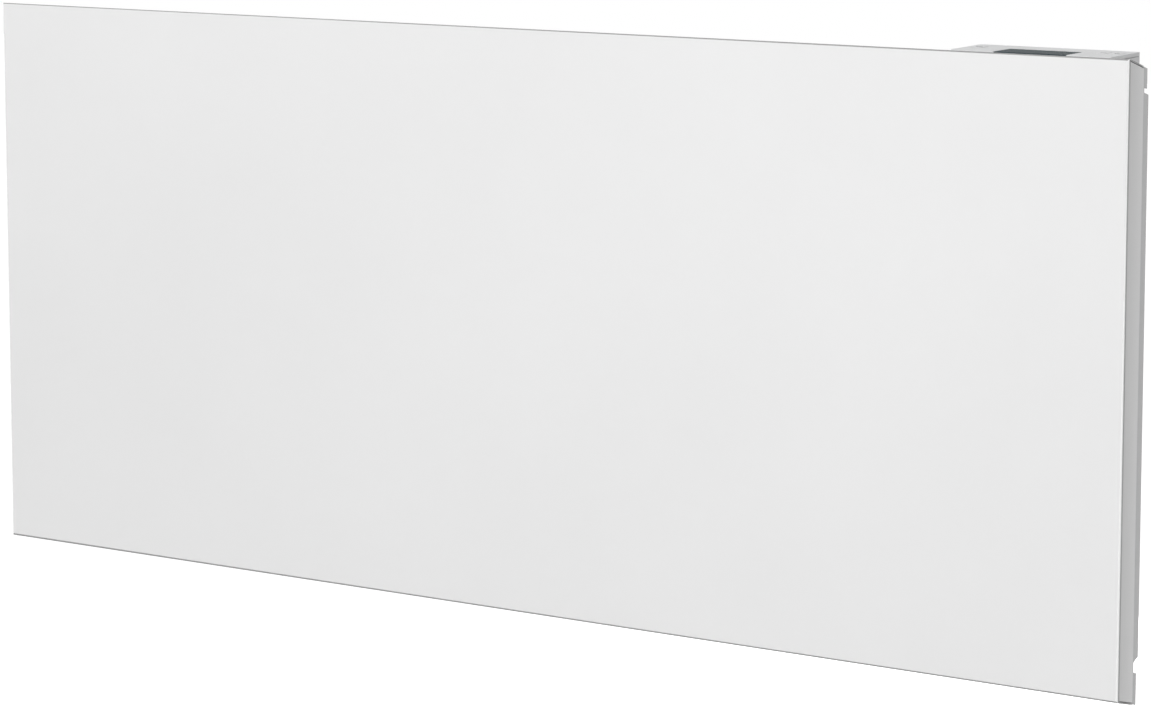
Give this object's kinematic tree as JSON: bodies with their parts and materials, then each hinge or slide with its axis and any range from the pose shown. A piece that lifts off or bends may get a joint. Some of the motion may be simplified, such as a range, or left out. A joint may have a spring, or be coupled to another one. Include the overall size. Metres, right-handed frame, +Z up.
{
  "type": "wall panel convector heater",
  "caption": "Slim wall-hung electric panel heater: flat folded steel front, rear convection casing with finned element, top-right control module with display and keys, wall bracket.",
  "frame": {"origin": "middle of the wall bracket's back face, where it lies on the wall, level with the middle of the front face", "axes": "+X to the right as seen from the front, along the length; +Y into the wall; +Z up"},
  "size_m": [0.882, 0.0847, 0.3759],
  "materials": {
    "white_steel": "satin powder coat, white",
    "grey_steel": "satin powder coat, pale grey",
    "galvanised_steel": "galvanised sheet, fine spangle",
    "aluminium": "bare rolled aluminium",
    "stainless_steel": "plain stainless",
    "zinc_screw": "bright zinc",
    "pale_plastic": "light grey-white moulded plastic, fine grain",
    "button_plastic": "light grey-white moulded plastic, smooth",
    "grey_plastic": "grey moulded plastic",
    "black_plastic": "black moulded plastic",
    "ceramic": "unglazed steatite",
    "circuit_board": "green solder mask",
    "display_glass": "dark tinted window",
    "rubber": "black rubber",
    "foam": "closed-cell foam",
    "brown_wire": "brown silicone insulation",
    "blue_wire": "blue silicone insulation",
    "earth_wire": "green insulation",
    "blue_can": "sleeved capacitor can"
  },
  "bodies": {
    "heater": {"front_cover": "white_steel", "chassis_plate": "grey_steel", "rear_casing": "grey_steel", "outlet_grille": "grey_steel", "damping_pad_left": "foam", "damping_pad_right": "foam", "element_tube": "stainless_steel", "element_diffuser": "aluminium", "element_support_left": "galvanised_steel", "element_support_right": "galvanised_steel", "element_bush_left": "ceramic", "element_bush_right": "ceramic", "element_terminal_left": "ceramic", "element_terminal_right": "ceramic", "heat_shield": "aluminium", "end_baffle": "galvanised_steel", "cutout_bracket": "galvanised_steel", "thermal_cutout": "stainless_steel", "control_housing": "pale_plastic", "control_fascia": "pale_plastic", "display_window": "display_glass", "display_panel": "black_plastic", "display_board": "circuit_board", "main_board": "circuit_board", "relay": "black_plastic", "transformer": "grey_plastic", "capacitor": "blue_can", "terminal_block": "grey_plastic", "room_sensor": "black_plastic", "cable_gland": "grey_plastic", "gland_nut": "grey_plastic", "switch_power": "black_plastic", "switch_minus": "black_plastic", "switch_plus": "black_plastic", "earth_stud": "zinc_screw", "earth_nut": "zinc_screw", "wire_grommet": "rubber", "wire_neutral": "blue_wire", "wire_live": "brown_wire", "wire_link": "brown_wire", "wire_earth": "earth_wire", "casing_screw_1": "zinc_screw", "casing_screw_2": "zinc_screw", "casing_screw_3": "zinc_screw", "casing_screw_4": "zinc_screw", "casing_screw_5": "zinc_screw", "casing_screw_6": "zinc_screw", "module_screw_left": "zinc_screw", "module_screw_right": "zinc_screw", "cover_screw_left": "zinc_screw", "cover_screw_right": "zinc_screw", "wall_bracket": "galvanised_steel", "catch_spring_left": "stainless_steel", "catch_spring_right": "stainless_steel"},
    "power_button": {"button_power": "button_plastic"},
    "minus_button": {"button_minus": "button_plastic"},
    "plus_button": {"button_plus": "button_plastic"},
    "left_catch": {"catch_left": "grey_plastic"},
    "right_catch": {"catch_right": "grey_plastic"}
  },
  "joints": [
    {"name": "power_button_press", "type": "slide", "parent": "heater", "child": "power_button", "axis": [0, 0, -1], "range_m": [0, 0.0006], "stiffness_N_per_m": 800, "springref_m": -0.0006},
    {"name": "minus_button_press", "type": "slide", "parent": "heater", "child": "minus_button", "axis": [0, 0, -1], "range_m": [0, 0.0006], "stiffness_N_per_m": 800, "springref_m": -0.0006},
    {"name": "plus_button_press", "type": "slide", "parent": "heater", "child": "plus_button", "axis": [0, 0, -1], "range_m": [0, 0.0006], "stiffness_N_per_m": 800, "springref_m": -0.0006},
    {"name": "left_catch_pull", "type": "slide", "parent": "heater", "child": "left_catch", "axis": [0, 0, -1], "range_m": [0, 0.008], "stiffness_N_per_m": 300, "springref_m": -0.006, "deforming": ["catch_spring_left"]},
    {"name": "right_catch_pull", "type": "slide", "parent": "heater", "child": "right_catch", "axis": [0, 0, -1], "range_m": [0, 0.008], "stiffness_N_per_m": 300, "springref_m": -0.006, "deforming": ["catch_spring_right"]}
  ]
}
